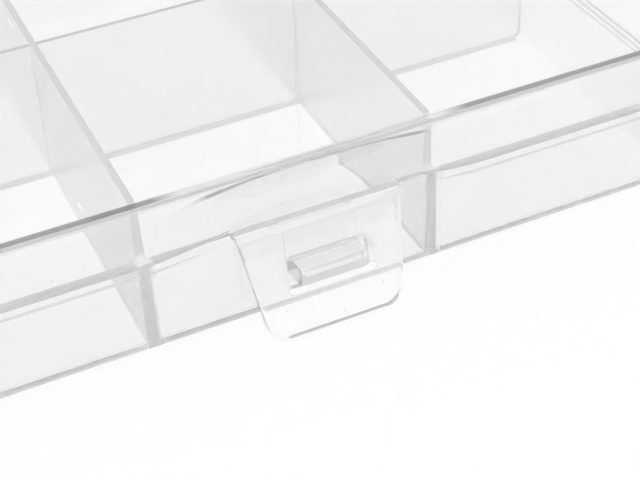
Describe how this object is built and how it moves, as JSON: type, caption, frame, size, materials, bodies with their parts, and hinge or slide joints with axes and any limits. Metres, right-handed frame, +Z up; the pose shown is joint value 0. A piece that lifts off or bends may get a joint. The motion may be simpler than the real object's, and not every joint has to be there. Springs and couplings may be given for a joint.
{
  "type": "hinged-lid compartment box",
  "caption": "Clear plastic compartment box for beads and craft parts, with a hinged lid over fixed dividers and snap latches that slot over moulded catches.",
  "frame": {"origin": "centre of the flat face the box rests on, at table height", "axes": "+X along the box's length, +Y from the latch side to the hinge side, +Z up"},
  "size_m": [0.2088, 0.1011, 0.025],
  "materials": {
    "clear_plastic": "clear gloss",
    "pin_steel": "bright drawn wire"
  },
  "bodies": {
    "base": {"base_tray": "clear_plastic", "long_divider_1": "clear_plastic", "long_divider_2": "clear_plastic", "long_divider_3": "clear_plastic", "long_divider_4": "clear_plastic", "cross_wall_1_1": "clear_plastic", "cross_wall_1_2": "clear_plastic", "cross_wall_1_3": "clear_plastic", "cross_wall_1_4": "clear_plastic", "cross_wall_1_5": "clear_plastic", "hinge_pin_left": "pin_steel", "hinge_pin_right": "pin_steel"},
    "lid": {"lid": "clear_plastic"},
    "latch_left": {"latch_left": "clear_plastic"},
    "latch_right": {"latch_right": "clear_plastic"}
  },
  "joints": [
    {"name": "lid_hinge", "type": "hinge", "parent": "base", "child": "lid", "pos_m": [0, 0.0482, 0.0157], "axis": [-1, 0, 0], "range_deg": [0, 180]},
    {"name": "latch_left_hinge", "type": "hinge", "parent": "lid", "child": "latch_left", "pos_m": [-0.0444, -0.0456, 0.01495], "axis": [-1, 0, 0], "range_deg": [0, 100]},
    {"name": "latch_right_hinge", "type": "hinge", "parent": "lid", "child": "latch_right", "pos_m": [0.0444, -0.0456, 0.01495], "axis": [-1, 0, 0], "range_deg": [0, 100]}
  ]
}
